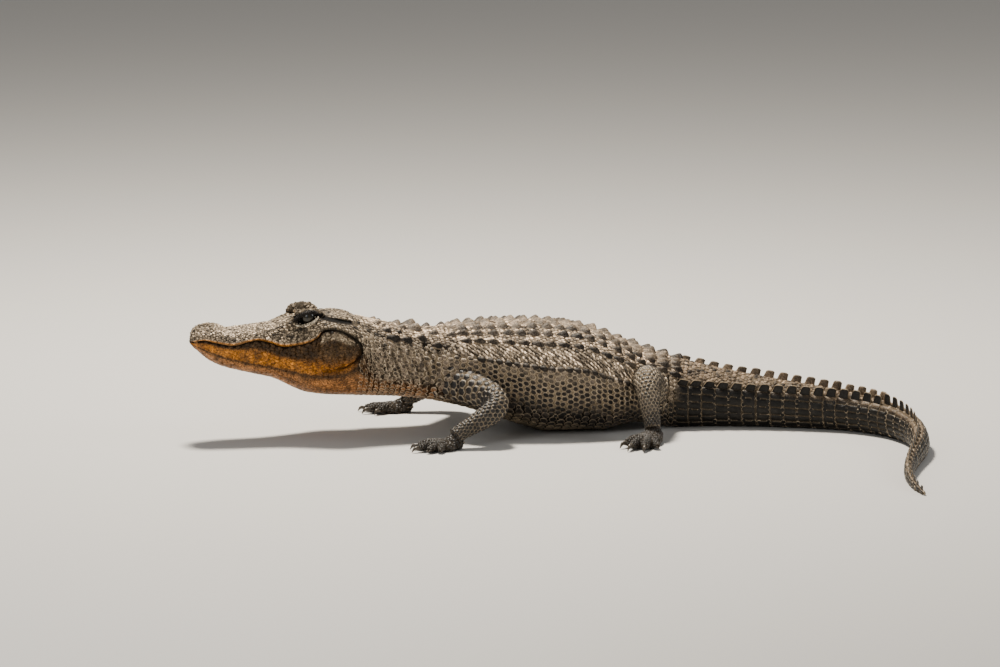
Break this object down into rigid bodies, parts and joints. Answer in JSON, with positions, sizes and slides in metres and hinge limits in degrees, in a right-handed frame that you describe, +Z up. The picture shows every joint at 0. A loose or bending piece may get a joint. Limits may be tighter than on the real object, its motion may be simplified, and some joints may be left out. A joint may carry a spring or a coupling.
{
  "type": "american alligator, life-size display model",
  "caption": "Still life-size alligator lying on its belly, head raised a little, legs bent, crested tail curled to its left.",
  "frame": {"origin": "on the floor, in the middle of the flat that the belly rests on", "axes": "+Z up, the head toward -X and the tail toward +X, the animal's left side toward -Y"},
  "size_m": [1.4716, 1.2231, 0.275],
  "materials": {
    "head_hide": "dry grey-black scaly hide, speckled pale on the snout",
    "jaw_hide": "tan and brown hide of the lower jaw and throat",
    "back_hide": "dark grey-brown scaly hide with keeled plates",
    "tail_hide": "near-black hide with upright crest scales",
    "leg_hide": "dark hide of large scales with pale seams",
    "claw": "dark horn",
    "eye": "glossy dark olive glass eye"
  },
  "bodies": {
    "root": {"head": "head_hide", "lower_jaw": "jaw_hide", "eye_left": "eye", "eye_right": "eye", "neck": "back_hide", "torso": "back_hide", "tail_base": "tail_hide", "tail_middle": "tail_hide", "tail_tip": "tail_hide", "upper_arm_left": "leg_hide", "forearm_left": "leg_hide", "hand_left": "leg_hide", "thigh_left": "leg_hide", "shank_left": "leg_hide", "foot_left": "leg_hide", "upper_arm_right": "leg_hide", "forearm_right": "leg_hide", "hand_right": "leg_hide", "thigh_right": "leg_hide", "shank_right": "leg_hide", "foot_right": "leg_hide"}
  },
  "joints": []
}
